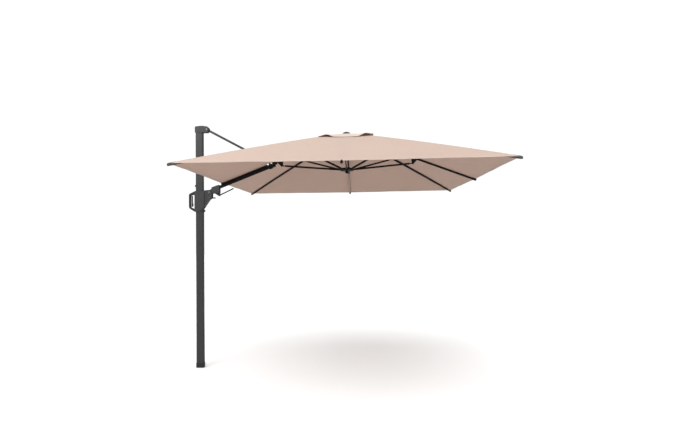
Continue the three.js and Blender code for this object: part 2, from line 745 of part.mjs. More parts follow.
export default parasol;
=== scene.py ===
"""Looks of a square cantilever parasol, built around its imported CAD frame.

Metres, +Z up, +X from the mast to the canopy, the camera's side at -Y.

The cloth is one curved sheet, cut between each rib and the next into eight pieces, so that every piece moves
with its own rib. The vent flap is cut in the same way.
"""

import json
import math
from collections import Counter

import bmesh
import bpy
from mathutils import Matrix, Vector


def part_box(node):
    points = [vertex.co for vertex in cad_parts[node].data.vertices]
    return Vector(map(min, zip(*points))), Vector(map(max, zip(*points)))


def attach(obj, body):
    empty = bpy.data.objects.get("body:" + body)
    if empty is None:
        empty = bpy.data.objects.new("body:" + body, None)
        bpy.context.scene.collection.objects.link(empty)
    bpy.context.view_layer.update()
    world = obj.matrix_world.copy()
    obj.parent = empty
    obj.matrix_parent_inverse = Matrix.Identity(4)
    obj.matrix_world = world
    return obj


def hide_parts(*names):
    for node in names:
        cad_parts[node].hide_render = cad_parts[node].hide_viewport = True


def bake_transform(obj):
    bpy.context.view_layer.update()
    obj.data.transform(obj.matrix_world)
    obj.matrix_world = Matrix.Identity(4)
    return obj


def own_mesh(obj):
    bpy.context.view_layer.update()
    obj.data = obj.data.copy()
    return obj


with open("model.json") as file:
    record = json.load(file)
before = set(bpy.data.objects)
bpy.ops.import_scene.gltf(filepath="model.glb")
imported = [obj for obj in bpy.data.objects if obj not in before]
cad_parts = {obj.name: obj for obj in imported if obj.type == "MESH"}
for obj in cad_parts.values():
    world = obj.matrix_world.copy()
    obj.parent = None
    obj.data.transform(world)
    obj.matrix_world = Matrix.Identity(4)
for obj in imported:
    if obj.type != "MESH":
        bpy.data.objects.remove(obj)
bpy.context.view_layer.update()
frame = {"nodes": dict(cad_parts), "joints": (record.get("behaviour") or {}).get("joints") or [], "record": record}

# ---------------------------------------------------------------- sizes, from the frame where it has them

cloth_low, cloth_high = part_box("canopy_fabric")
joints = {joint["name"]: joint for joint in frame["joints"]}

CENTRE = Vector(((cloth_low.x + cloth_high.x) / 2, 0, 0))   # the crown's axis
HALF = (cloth_high.x - cloth_low.x) / 2                     # from the axis to the hem
MID_HEM = cloth_low.z                                       # underside of the hem at a middle rib
HINGE_RADIUS = CENTRE.x - joints["crown_pivot"]["pos_m"][0]     # from the axis to the ribs' hinges
HINGE_Z = joints["crown_pivot"]["pos_m"][2]

# Ribs, a turn of 45 degrees apart: middle ribs at the even places and corner ribs at the odd ones
SIDES = ["outer", "outer_back", "back", "mast_back", "mast", "mast_front", "front", "outer_front"]

# Cloth and ribs, as in the CAD model
APEX = MID_HEM + 0.570      # where the cloth's slope would meet the axis
CORNER_RISE = 0.007         # of the hem at a corner, above the hem at a middle rib
CORNER_ARCH = 0.012         # of the cloth along a corner rib
OPENING = 0.200             # from the axis to the edge of the hole under the vent flap
SLIT_REACH = CENTRE.x - joints["ring_pivot"]["pos_m"][0]    # from the axis to the slit for the tie rod
RIB_DROP = 0.010            # from the cloth down to a rib's centre line
RIB_ARCH = 0.011
RIB_OVERHANG = 0.002        # of a rib past the hem

# Cloth, finer than the CAD model
SLIT_LENGTH = 0.058
SLIT_WIDTH = 0.076      # lets the tie rod's fork and pin swing in the side tilt
BINDING = 0.009         # width of the binding round the slit
BINDING_FOLD = 0.0007   # extra thickness of the binding, above and below
CLEAR_OF_SLIT = 0.016   # from the slit to the nearest plain row of the mesh
CLOTH = 0.0008          # thickness
MID_SURFACE = 0.001     # from the CAD underside up to the sheet's middle
HEM_BAND = 0.028
HEM_FOLD = 0.0013       # extra thickness under the hem
SEAM_BAND = 0.008       # from the corner seam to the edge of its allowance, on each side
SEAM_FOLD = 0.0009
STEP = 0.0008           # width of the small slope where a fold starts
SHARP_FOLD = math.radians(55)
GORE_SAG = 0.013        # of the cloth between two ribs
HEM_PULL = 0.006        # how far the hem draws in between the ribs
RIPPLE = 0.0016

# Vent flap over the opening
VENT_APEX = APEX - 0.004
VENT_SLOPE = 0.34
VENT_HALF = 0.310
VENT_HOLE = 0.009
VENT_CAP = 0.075        # the part inside this stays with the crown
VENT_ARCH = 0.021       # how high the open arches between the sewn parts rise
VENT_SEAT = 0.0040      # how far the sewn parts are drawn down to the main cloth
VENT_SEWN = 0.41        # share of each half side that is sewn down, next to the middle rib
VENT_LOOSE = 0.016      # lift of the one corner that has slackened
SLACK_SIDE = "outer_front"
VENT_HEM = 0.018
VENT_HEM_SLOPE = 0.001  # width of the small slope where the vent's hem starts
VENT_HEM_FOLD = 0.0004  # extra thickness of the vent's hem, above and below

HALF_WEDGE = math.tan(math.radians(22.5))   # place of the cut along a side, as a share of the reach

# Canvas
CANVAS = (0.74, 0.605, 0.525)
CANVAS_GLOW = (0.80, 0.56, 0.43)    # colour of the light that comes through
CLOTH_GLOW = 0.30
VENT_GLOW = 0.06
THREAD = 0.0011                     # of the weave
SEWING_THREAD = 0.0007
STITCH = 0.0042                     # from one stitch to the next
STITCH_SHOWN = 0.68                 # share of a stitch that lies on the outside
HEM_STITCHES = (HEM_BAND - 0.003, 0.0035)   # lines of stitches, from the hem's edge
SEAM_STITCHES = SEAM_BAND - 0.002           # line of stitches, from the corner seam


# ---------------------------------------------------------------- shader helpers

class Shader:
    """A material under construction: a principled surface and short calls for the nodes that feed it."""

    def __init__(self, name, **surface):
        self.material = bpy.data.materials.new(name)
        self.material.use_nodes = True
        self.tree = self.material.node_tree
        self.tree.nodes.clear()
        self.output = self.tree.nodes.new("ShaderNodeOutputMaterial")
        self.surface = self.node("ShaderNodeBsdfPrincipled", **surface)
        self.link(self.surface.outputs[0], self.output.inputs["Surface"])

    def node(self, kind, **inputs):
        node = self.tree.nodes.new(kind)
        for key, value in inputs.items():
            self.feed(node.inputs[key.replace("_", " ")], value)
        return node

    def feed(self, socket, value):
        if isinstance(value, bpy.types.NodeSocket):
            self.link(value, socket)
        else:
            socket.default_value = value

    def link(self, source, target):
        self.tree.links.new(source, target)

    def maths(self, operation, a, b=0.0, c=0.0):
        node = self.tree.nodes.new("ShaderNodeMath")
        node.operation = operation
        for socket, value in zip(node.inputs, (a, b, c)):
            self.feed(socket, value)
        return node.outputs[0]

    def position(self):
        return self.node("ShaderNodeTexCoord").outputs["Object"]

    def stretched(self, vector, scale):
        node = self.node("ShaderNodeMapping", Vector=vector)
        node.inputs["Scale"].default_value = scale
        return node.outputs[0]

    def noise(self, vector, scale, detail=2.0, roughness=0.5):
        return self.node(
            "ShaderNodeTexNoise", Vector=vector, Scale=scale, Detail=detail, Roughness=roughness
        ).outputs["Fac"]

    def attribute(self, name):
        node = self.tree.nodes.new("ShaderNodeAttribute")
        node.attribute_name = name
        return node.outputs["Fac"]

    def spread(self, value, low, high):
        """Value from 0..1 mapped to low..high, without a clamp."""
        return self.maths("MULTIPLY_ADD", value, high - low, low)

    def ramp(self, value, start, end):
        """0 before start, 1 after end, smooth between."""
        node = self.tree.nodes.new("ShaderNodeMapRange")
        node.interpolation_type = "SMOOTHSTEP"
        for name, number in (("Value", value), ("From Min", start), ("From Max", end)):
            self.feed(node.inputs[name], number)
        return node.outputs[0]

    def mix(self, share, first, second):
        node = self.tree.nodes.new("ShaderNodeMix")
        node.data_type = "RGBA"
        for index, value in ((0, share), (6, first), (7, second)):
            self.feed(node.inputs[index], value)
        return node.outputs[2]

    def shade(self, colour, factor):
        """Colour times a grey factor."""
        node = self.tree.nodes.new("ShaderNodeVectorMath")
        node.operation = "SCALE"
        self.feed(node.inputs[0], colour)
        self.feed(node.inputs["Scale"], factor)
        return node.outputs[0]

    def bump(self, height, strength, distance):
        node = self.node("ShaderNodeBump", Height=height, Strength=strength, Distance=distance)
        self.link(node.outputs[0], self.surface.inputs["Normal"])
        return node.outputs[0]


def powder_coat(name, colour, roughness, wear, grain=900.0, lumps=0.0, shine=0.45):
    """Painted metal: orange peel, slight cloudiness, and a paler rub along the edges."""
    s = Shader(name, Metallic=0.0)
    place = s.position()
    peel = s.noise(place, grain, 2.0)
    cloud = s.noise(place, 7.0, 4.0, 0.6)
    dust = s.noise(place, 60.0, 3.0, 0.7)
    worn_place = s.noise(place, 35.0, 4.0, 0.65)
    edge = s.ramp(s.node("ShaderNodeNewGeometry").outputs["Pointiness"], 0.52, 0.60)
    rub = s.maths("MULTIPLY", edge, s.ramp(worn_place, 0.42, 0.66))
    rub = s.maths("MULTIPLY", rub, wear)
    tone = s.maths("ADD", s.spread(cloud, 0.90, 1.10), s.spread(dust, -0.05, 0.05))
    base = s.shade(colour, tone)
    pale = tuple(min(1.0, 2.6 * channel + 0.02) for channel in colour)
    s.feed(s.surface.inputs["Base Color"], s.mix(rub, base, (*pale, 1)))
    dull = s.maths("ADD", s.spread(cloud, roughness - 0.05, roughness + 0.07), s.spread(peel, -0.04, 0.04))
    s.feed(s.surface.inputs["Roughness"], dull)
    s.surface.inputs["Specular IOR Level"].default_value = shine
    s.surface.inputs["Coat Weight"].default_value = 0.15 * shine
    s.surface.inputs["Coat Roughness"].default_value = 0.35
    height = peel
    if lumps:
        height = s.maths("ADD", peel, s.maths("MULTIPLY", s.noise(place, 140.0, 3.0), lumps))
    s.bump(height, 0.35, 0.00025)
    return s.material


def moulded_plastic(name, colour, roughness, shine=0.4):
    """Injection-moulded plastic: spark-eroded grain, faint flow clouds and handling marks."""
    s = Shader(name, Metallic=0.0)
    place = s.position()
    grain = s.node("ShaderNodeTexVoronoi", Vector=place, Scale=1600.0).outputs["Distance"]
    cloud = s.noise(s.stretched(place, (1, 1, 0.4)), 16.0, 4.0, 0.6)
    marks = s.noise(s.stretched(place, (9, 1, 1)), 55.0, 3.0, 0.7)
    base = s.shade(colour, s.spread(cloud, 0.86, 1.14))
    s.feed(s.surface.inputs["Base Color"], base)
    rubbed = s.maths("MULTIPLY", s.ramp(marks, 0.55, 0.75), 0.12)
    dull = s.maths("SUBTRACT", s.spread(cloud, roughness - 0.03, roughness + 0.06), rubbed)
    s.feed(s.surface.inputs["Roughness"], dull)
    s.surface.inputs["Specular IOR Level"].default_value = shine
    s.bump(s.maths("ADD", grain, s.maths("MULTIPLY", marks, 0.4)), 0.28, 0.00018)
    return s.material


def plain_nylon(name, colour):
    """Turned nylon: a waxy, slightly translucent grey with faint tool marks."""
    s = Shader(name, Metallic=0.0)
    place = s.position()
    cloud = s.noise(place, 30.0, 3.0)
    marks = s.noise(s.stretched(place, (1, 1, 30)), 120.0, 2.0)
    s.feed(s.surface.inputs["Base Color"], s.shade(colour, s.spread(cloud, 0.9, 1.08)))
    s.feed(s.surface.inputs["Roughness"], s.spread(cloud, 0.38, 0.52))
    s.surface.inputs["Subsurface Weight"].default_value = 0.15
    s.surface.inputs["Subsurface Scale"].default_value = 0.004
    s.bump(marks, 0.2, 0.0001)
    return s.material


def zinc_steel(name, colour):
    """Zinc-plated steel: turned rings of brushing and small dull spots."""
    s = Shader(name, Metallic=1.0)
    place = s.position()
    brushing = s.noise(s.stretched(place, (1, 40, 1)), 160.0, 3.0, 0.6)
    spots = s.ramp(s.noise(place, 90.0, 3.0, 0.7), 0.56, 0.72)
    tone = s.maths("SUBTRACT", s.spread(brushing, 0.9, 1.1), s.maths("MULTIPLY", spots, 0.22))
    s.feed(s.surface.inputs["Base Color"], s.shade(colour, tone))
    dull = s.maths("ADD", s.spread(brushing, 0.24, 0.38), s.maths("MULTIPLY", spots, 0.2))
    s.feed(s.surface.inputs["Roughness"], dull)
    s.bump(brushing, 0.15, 0.0001)
    return s.material


def braided_cord(name, colour):
    """Braided polyester: the strands are in the mesh, and the fibres of each strand are here."""
    s = Shader(name, Roughness=0.85)
    place = s.position()
    fibres = s.noise(s.stretched(place, (1, 1, 0.25)), 3500.0, 2.0, 0.6)
    s.feed(s.surface.inputs["Base Color"], s.shade(colour, s.spread(fibres, 0.7, 1.25)))
    s.surface.inputs["Sheen Weight"].default_value = 0.3
    s.bump(fibres, 0.5, 0.0002)
    return s.material


def canopy_cloth(name, glow):
    """Spun polyester canvas: plain weave, slubs, a darker hem, sewn lines, and light that comes through.

    The UV map holds metres along a side of the canopy and up from its hem. The attributes hem_distance and
    seam_distance hold metres from the hem and from the corner seam. glow is the share of light let through.
    """
    s = Shader(name, Roughness=0.88)
    uv = s.node("ShaderNodeUVMap").outputs["UV"]
    split = s.node("ShaderNodeSeparateXYZ", Vector=uv)
    along, across = split.outputs[0], split.outputs[1]
    hem = s.attribute("hem_distance")
    seam = s.attribute("seam_distance")

    warp = s.maths("ABSOLUTE", s.maths("SINE", s.maths("MULTIPLY", along, math.pi / THREAD)))
    weft = s.maths("ABSOLUTE", s.maths("SINE", s.maths("MULTIPLY", across, math.pi / THREAD)))
    checker = s.node("ShaderNodeTexChecker", Vector=uv, Scale=1 / THREAD).outputs["Fac"]
    over = s.maths("MULTIPLY", warp, checker)
    under = s.maths("MULTIPLY", weft, s.maths("SUBTRACT", 1.0, checker))
    weave = s.maths("ADD", over, under)

    slub_warp = s.noise(s.stretched(uv, (1, 0.03, 1)), 700.0, 2.0)
    slub_weft = s.noise(s.stretched(uv, (0.03, 1, 1)), 700.0, 2.0)
    slub = s.maths("MULTIPLY", s.maths("ADD", slub_warp, slub_weft), 0.5)
    fade = s.noise(s.position(), 1.7, 3.0, 0.55)
    soil = s.noise(s.position(), 9.0, 4.0, 0.6)

    in_hem = s.maths("SUBTRACT", 1.0, s.ramp(hem, HEM_BAND - STEP, HEM_BAND))
    in_seam = s.maths("SUBTRACT", 1.0, s.ramp(seam, SEAM_BAND - STEP, SEAM_BAND))
    folded = s.maths("MAXIMUM", in_hem, in_seam)

    def sewn_line(distance, place, travel):
        away = s.maths("ABSOLUTE", s.maths("SUBTRACT", distance, place))
        near = s.maths("SUBTRACT", 1.0, s.ramp(away, 0.5 * SEWING_THREAD, SEWING_THREAD))
        dash = s.maths("LESS_THAN", s.maths("FRACT", s.maths("DIVIDE", travel, STITCH)), STITCH_SHOWN)
        return s.maths("MULTIPLY", near, dash)

    upper, lower = HEM_STITCHES
    stitches = sewn_line(hem, upper, along)
    for distance, place, travel in ((hem, lower, along), (seam, SEAM_STITCHES, across)):
        stitches = s.maths("MAXIMUM", stitches, sewn_line(distance, place, travel))

    tone = s.maths("ADD", s.spread(slub, 0.955, 1.045), s.spread(weave, -0.035, 0.02))
    tone = s.maths("MULTIPLY", tone, s.spread(fade, 0.975, 1.025))
    tone = s.maths("MULTIPLY", tone, s.spread(soil, 0.985, 1.012))
    tone = s.maths("MULTIPLY", tone, s.maths("SUBTRACT", 1.0, s.maths("MULTIPLY", folded, 0.05)))
    tone = s.maths("SUBTRACT", tone, s.maths("MULTIPLY", stitches, 0.16))
    colour = s.shade(CANVAS, tone)
    s.feed(s.surface.inputs["Base Color"], colour)
    s.feed(s.surface.inputs["Roughness"], s.spread(slub, 0.80, 0.95))
    s.surface.inputs["Specular IOR Level"].default_value = 0.2
    s.surface.inputs["Sheen Weight"].default_value = 0.12
    s.surface.inputs["Sheen Roughness"].default_value = 0.5

    height = s.maths("ADD", s.maths("MULTIPLY", weave, 0.5), s.maths("MULTIPLY", slub, 0.5))
    height = s.maths("SUBTRACT", height, s.maths("MULTIPLY", stitches, 1.4))
    normal = s.bump(height, 0.3, 0.0004)

    through = s.node("ShaderNodeBsdfTranslucent", Normal=normal)
    s.feed(through.inputs["Color"], s.shade(CANVAS_GLOW, tone))
    share = s.maths("MULTIPLY", glow, s.maths("SUBTRACT", 1.0, s.maths("MULTIPLY", folded, 0.55)))
    blend = s.tree.nodes.new("ShaderNodeMixShader")
    s.feed(blend.inputs[0], share)
    s.link(s.surface.outputs[0], blend.inputs[1])
    s.link(through.outputs[0], blend.inputs[2])
    s.link(blend.outputs[0], s.output.inputs["Surface"])
    return s.material


MATERIALS = {
    "tube_paint": powder_coat("anthracite_tube", (0.040, 0.0405, 0.042), 0.42, 0.30),
    "cast_paint": powder_coat("anthracite_casting", (0.044, 0.0445, 0.046), 0.47, 0.55, 700.0, 0.8),
    # Near-black copy of the anthracite paint for the parts under the canopy: painted shade
    "frame_black": powder_coat("shade_darkened_frame", (0.006, 0.006, 0.0065), 0.50, 0.15, shine=0.18),
    "dark_plastic": moulded_plastic("dark_moulding", (0.027, 0.027, 0.029), 0.52),
    "nylon": plain_nylon("dark_nylon", (0.020, 0.020, 0.021)),
    "steel": zinc_steel("zinc_steel", (0.24, 0.24, 0.25)),
    "cord": braided_cord("cord_braid", (0.36, 0.33, 0.30)),
    "canopy_cloth": canopy_cloth("canvas", CLOTH_GLOW),
}
VENT_CANVAS = canopy_cloth("vent_canvas", VENT_GLOW)
# Near-black copy of the dark moulding for parts in the canopy's shade, the levers and the middle ribs' caps:
# painted shade
SHADED_MOULDING = moulded_plastic("shaded_moulding", (0.009, 0.009, 0.0095), 0.55, shine=0.2)
CAP_GREY = moulded_plastic("grey_cap", (0.11, 0.106, 0.106), 0.50)


# ---------------------------------------------------------------- carried CAD nodes

SMOOTH_LIMIT = math.radians(35)     # edges sharper than this stay sharp
BEVEL_LIMIT = math.radians(38)      # edges sharper than this are rounded
EDGE_ROUNDING = {"mast_tube": 0.003, "foot_sleeve": 0.003, "head_cap": 0.002, "carriage_body": 0.0016}
USUAL_ROUNDING = 0.0007
CLOTH_NODES = ("canopy_fabric", "vent_fabric", "hoist_cord")
# Parts that get the near-black moulding instead of their slot's material: painted shade
SHADED_NODES = ("clip_", "runner_", "lock_trigger", "tilt_lever", "release_lever")


def smooth_by_angle(limit):
    """Node group that shades a mesh smooth except across edges sharper than the limit."""
    group = bpy.data.node_groups.new("smooth_by_angle", "GeometryNodeTree")
    for direction in ("INPUT", "OUTPUT"):
        group.interface.new_socket("Geometry", in_out=direction, socket_type="NodeSocketGeometry")
    source = group.nodes.new("NodeGroupInput")
    target = group.nodes.new("NodeGroupOutput")
    faces = group.nodes.new("GeometryNodeSetShadeSmooth")
    edges = group.nodes.new("GeometryNodeSetShadeSmooth")
    edges.domain = "EDGE"
    edges.inputs["Shade Smooth"].default_value = False
    angle = group.nodes.new("GeometryNodeInputMeshEdgeAngle")
    sharp = group.nodes.new("FunctionNodeCompare")
    sharp.operation = "GREATER_THAN"
    sharp.inputs[1].default_value = limit
    links = group.links
    links.new(source.outputs[0], faces.inputs["Geometry"])
    links.new(faces.outputs[0], edges.inputs["Geometry"])
    links.new(angle.outputs["Unsigned Angle"], sharp.inputs[0])
    links.new(sharp.outputs[0], edges.inputs["Selection"])
    links.new(edges.outputs[0], target.inputs[0])
    return group


def finish_cad_node(name, slot, shading):
    """Rounded edges, even shading and the slot's material on a CAD node."""
    node = frame["nodes"][name]
    weld = node.modifiers.new("weld", "WELD")
    weld.merge_threshold = 1e-5
    bevel = node.modifiers.new("rounded_edges", "BEVEL")
    bevel.width = EDGE_ROUNDING.get(name, USUAL_ROUNDING)
    bevel.segments = 2
    bevel.limit_method = "ANGLE"
    bevel.angle_limit = BEVEL_LIMIT
    even = node.modifiers.new("smooth_by_angle", "NODES")
    even.node_group = shading
    normals = node.modifiers.new("even_normals", "WEIGHTED_NORMAL")
    normals.keep_sharp = True
    node.data.materials.clear()
    # Some parts get the near-black moulding, painted shade, instead of their slot's material
    node.data.materials.append(SHADED_MOULDING if name.startswith(SHADED_NODES) else MATERIALS[slot])


def finish_cad_nodes():
    shading = smooth_by_angle(SMOOTH_LIMIT)
    for part in frame["record"]["subparts"]:
        if part["node"] not in CLOTH_NODES:
            finish_cad_node(part["node"], part["material_slot"], shading)


finish_cad_nodes()


# ---------------------------------------------------------------- cloth surfaces

def turned(angle):
    """Unit vectors in plan: towards the angle, and a quarter turn on from it."""
    return (
        Vector((math.cos(angle), math.sin(angle), 0)),
        Vector((-math.sin(angle), math.cos(angle), 0)),
    )


def bell(share):
    """0 at both ends and 1 in the middle."""
    return 4 * share * (1 - share)


def smooth(share):
    """0 to 1, level at both ends."""
    share = min(1.0, max(0.0, share))
    return share * share * (3 - 2 * share)


def corner_lift(reach):
    """How far the cloth over a corner rib lies above the plain pyramid, at a reach along a side."""
    share = (reach * math.sqrt(2) - HINGE_RADIUS) / (HALF * math.sqrt(2) - HINGE_RADIUS)
    return CORNER_RISE * reach / HALF + CORNER_ARCH * bell(max(share, 0.0))


def ripple(place, reach, side):
    """Slight waves in the cloth, still along the ribs."""
    wave = math.sin(11 * place.x + 4 * place.y + 0.6) * math.sin(3 * place.x - 9 * place.y + 1.1)
    wave += 0.6 * math.sin(17 * place.y + 5 * place.x) * math.sin(13 * place.x - 2.0)
    return RIPPLE * wave * bell(side) * min(1.0, 2.2 * reach / HALF)


def canopy_point(angle, reach, along):
    """Middle of the sheet: reach is the distance from the axis square to the side, along runs on the side."""
    towards, across = turned(angle)
    side = min(1.0, abs(along) / reach)
    pulled = reach - HEM_PULL * bell(side) * (reach / HALF) ** 8
    place = CENTRE + pulled * towards + along * across
    height = APEX - (APEX - MID_HEM) * pulled / HALF + corner_lift(pulled) * side
    height -= GORE_SAG * bell(side) * smooth(1.6 * (1 - reach / HALF) + 0.22) * reach / HALF
    place.z = height + MID_SURFACE + ripple(place, reach, side)
    return place


def vent_point(angle, reach, along, loose=False):
    """Middle of the vent flap's sheet, with open arches beside the parts that are sewn down."""
    towards, across = turned(angle)
    side = min(1.0, abs(along) / reach)
    place = CENTRE + reach * towards + along * across
    outward = max(0.0, (reach - VENT_CAP) / (VENT_HALF - VENT_CAP))
    place.z = VENT_APEX - VENT_SLOPE * reach + corner_lift(reach) * side + MID_SURFACE
    place.z -= VENT_SEAT * outward ** 2 * (1 - smooth((side - VENT_SEWN) * 4))
    if side > VENT_SEWN:
        opening = (side - VENT_SEWN) / (1 - VENT_SEWN)
        place.z += VENT_ARCH * math.sin(math.pi * opening) ** 2 * outward ** 1.6
        if loose:
            place.z += VENT_LOOSE * smooth(opening * 1.1 - 0.1) * outward ** 2
    return place


def slack_vent_point(angle, reach, along):
    return vent_point(angle, reach, along, loose=True)


# ---------------------------------------------------------------- cloth meshes

CANOPY_ROWS = 46
VENT_ROWS = 12
VENT_CAP_ROWS = 4

# Columns of the meshes, from a rib to the cut
CANOPY_MIDDLE = 12
CANOPY_CORNER = 20
VENT_MIDDLE = 8
VENT_CORNER = 14
VENT_CAP_COLUMNS = 4


def spaced(start, end, count):
    return [start + (end - start) * i / count for i in range(count + 1)]


def is_corner(index):
    """True for a corner rib, and false for a middle rib, by its place in SIDES."""
    return index % 2 == 1


def middle_columns(reach):
    """Places along a side from its middle rib to the cut, closer beside the slit."""
    binding = SLIT_WIDTH / 2 + BINDING
    inner = [0.0, SLIT_WIDTH / 4, SLIT_WIDTH / 2, SLIT_WIDTH / 2 + STEP, binding - STEP, binding]
    return inner + spaced(binding, reach * HALF_WEDGE, CANOPY_MIDDLE)[1:]


def seam_columns(count):
    """Places along a side from the corner seam to the cut, as a function of the reach."""
    def columns(reach):
        corner = [reach - math.sqrt(2) * distance for distance in (0.0, SEAM_BAND - STEP, SEAM_BAND)]
        return corner + spaced(corner[-1], reach * HALF_WEDGE, count)[1:]
    return columns


def even_columns(index, count):
    """Even places along a side from a rib to the cut, as a function of the reach."""
    return lambda reach: spaced(reach if is_corner(index) else 0.0, reach * HALF_WEDGE, count)


def sheet_grid(index, rows, columns):
    """Rows of points (reach, angle, along) over one rib's share of a square sheet, from cut to cut."""
    rib_angle = index * math.pi / 4
    if is_corner(index):
        halves = ((rib_angle - math.pi / 4, 1), (rib_angle + math.pi / 4, -1))
    else:
        halves = ((rib_angle, -1), (rib_angle, 1))
    grid = []
    for reach in rows:
        first, second = ([(reach, angle, sign * place) for place in columns(reach)] for angle, sign in halves)
        grid.append(first[::-1] + second[1:])
    return grid


def sheet_cells(grid, skip):
    """Corners, as (row, column), of every cell of the grid that isn't cut out."""
    cells = []
    for i in range(len(grid) - 1):
        for j in range(len(grid[0]) - 1):
            if not (skip and skip(grid[i][j], grid[i + 1][j + 1])):
                cells.append(((i, j), (i + 1, j), (i + 1, j + 1), (i, j + 1)))
    return cells


def sheet_middle(grid, cells, point):
    """Places of the grid's points, and the sheet's upward normals there."""
    mesh = bmesh.new()
    vertices = {}
    for i, row in enumerate(grid):
        for j, (reach, angle, along) in enumerate(row):
            vertices[i, j] = mesh.verts.new(point(angle, reach, along))
    for cell in cells:
        mesh.faces.new([vertices[key] for key in cell])
    mesh.normal_update()
    places = {key: vertex.co.copy() for key, vertex in vertices.items()}
    normals = {key: vertex.normal * (-1 if vertex.normal.z < 0 else 1) for key, vertex in vertices.items()}
    mesh.free()
    return places, normals


def borders(cell):
    return list(zip(cell, cell[1:] + cell[:1]))


def as_piece(mesh, name, material):
    """Shown object with one material, from a finished bmesh."""
    data = bpy.data.meshes.new(name)
    mesh.to_mesh(data)
    mesh.free()
    data.materials.append(material)
    piece = bpy.data.objects.new(name, data)
    bpy.context.scene.collection.objects.link(piece)
    return piece


def sheet(name, index, rows, columns, point, fold, edge, material, skip=None):
    """Closed thin solid over one rib's share of a square sheet.

    rows are reaches from the axis. columns(reach) are places along a side, from the rib outwards. point gives
    the sheet's middle, fold the extra thickness above and below, edge the reach of the hem, and skip is true
    for a cell that is cut out.
    """
    grid = sheet_grid(index, rows, columns)
    cells = sheet_cells(grid, skip)
    places, normals = sheet_middle(grid, cells, point)
    seam_column = (len(grid[0]) - 1) / 2
    tilt = math.hypot(1, (APEX - MID_HEM) / HALF)       # length of cloth in one metre of reach

    mesh = bmesh.new()
    uv_layer = mesh.loops.layers.uv.new("UVMap")
    hem_layer = mesh.verts.layers.float.new("hem_distance")
    seam_layer = mesh.verts.layers.float.new("seam_distance")

    def add_layer(direction):
        layer = {}
        for i, j in sorted({corner for cell in cells for corner in cell}):
            reach, _, along = grid[i][j]
            above, below = fold(reach, along)
            offset = CLOTH / 2 + (above if direction > 0 else below)
            vertex = mesh.verts.new(places[i, j] + direction * offset * normals[i, j])
            vertex[hem_layer] = edge - reach
            vertex[seam_layer] = (reach - abs(along)) / math.sqrt(2)
            layer[i, j] = vertex
        return layer

    def add_face(vertices, keys, cell):
        face = mesh.faces.new(vertices)
        face.smooth = True
        for loop, (i, j) in zip(face.loops, keys):
            reach, _, along = grid[i][j]
            if is_corner(index) and j == seam_column and cell[0][1] >= seam_column:
                along = -reach                          # the seam's own vertices belong to both sides
            loop[uv_layer].uv = (along, (edge - reach) * tilt)

    top, bottom = add_layer(1), add_layer(-1)
    for cell in cells:
        add_face([top[key] for key in cell], cell, cell)
        add_face([bottom[key] for key in cell[::-1]], cell[::-1], cell)
    shared = Counter(frozenset(border) for cell in cells for border in borders(cell))
    for cell in cells:
        for a, b in borders(cell):
            if shared[frozenset((a, b))] == 1:
                add_face([top[b], top[a], bottom[a], bottom[b]], (b, a, a, b), cell)
    bmesh.ops.recalc_face_normals(mesh, faces=mesh.faces)
    for mesh_edge in mesh.edges:
        if mesh_edge.calc_face_angle(0.0) > SHARP_FOLD:
            mesh_edge.smooth = False
    return as_piece(mesh, name, material)


def body_of_side(side):
    """The body that holds a side's rib: the mast side's rib is bolted to the arm."""
    return "arm" if side == "mast" else "rib_" + side


def follow_rib(piece, index, node):
    """The piece stands for its share of a CAD cloth and moves with its rib."""
    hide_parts(node)
    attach(piece, body_of_side(SIDES[index]))
    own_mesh(piece)


def in_seam(reach, along):
    return (reach - abs(along)) / math.sqrt(2) < SEAM_BAND - STEP / 2


def canopy_fold(reach, along):
    """Extra thickness above and below: the hem's fold and the corner seam."""
    above, below = 0.0, 0.0
    if HALF - reach < HEM_BAND - STEP / 2:
        below += HEM_FOLD
    if in_seam(reach, along):
        above += SEAM_FOLD
        below += SEAM_FOLD / 2
    return above, below


def slit_fold(reach, along):
    """Extra thickness of the piece that has the slit: the usual folds and the slit's binding."""
    above, below = canopy_fold(reach, along)
    beyond = max(abs(reach - SLIT_REACH) - SLIT_LENGTH / 2, abs(along) - SLIT_WIDTH / 2)
    if beyond < BINDING - STEP / 2:
        above += BINDING_FOLD
        below += BINDING_FOLD
    return above, below


def vent_fold(reach, along):
    """Extra thickness of the vent flap above and below: its hem and the corner seam."""
    above, below = 0.0, 0.0
    if VENT_HALF - reach < VENT_HEM:
        above, below = VENT_HEM_FOLD, VENT_HEM_FOLD
    if in_seam(reach, along):
        above += SEAM_FOLD
    return above, below


def no_fold(reach, along):
    return 0.0, 0.0


def in_slit(near, far):
    """True where the middle between two grid points lies in the slit."""
    reach = (near[0] + far[0]) / 2
    along = (near[2] + far[2]) / 2
    return abs(reach - SLIT_REACH) < SLIT_LENGTH / 2 and abs(along) < SLIT_WIDTH / 2


def canopy_rows():
    """Reaches of the mesh rows, with close pairs where the slit's binding and the hem's fold start."""
    slit_edges = []
    for end in (-1, 1):
        edge = SLIT_REACH + end * SLIT_LENGTH / 2
        slit_edges += [edge + end * past for past in (0.0, STEP, BINDING - STEP, BINDING)]
    hem_edges = [HALF - HEM_BAND, HALF - HEM_BAND + STEP, HALF - HEM_BAND / 2, HALF]
    plain = spaced(OPENING, HALF - HEM_BAND, CANOPY_ROWS)[:-1]
    clear = [row for row in plain if abs(row - SLIT_REACH) > SLIT_LENGTH / 2 + CLEAR_OF_SLIT]
    return sorted(clear + slit_edges + hem_edges)


def build_canopy():
    rows = canopy_rows()
    for index, side in enumerate(SIDES):
        columns = seam_columns(CANOPY_CORNER) if is_corner(index) else middle_columns
        fold, skip = (slit_fold, in_slit) if side == "mast" else (canopy_fold, None)
        piece = sheet("canopy_" + side, index, rows, columns, canopy_point, fold, HALF,
                      MATERIALS["canopy_cloth"], skip)
        follow_rib(piece, index, "canopy_fabric")


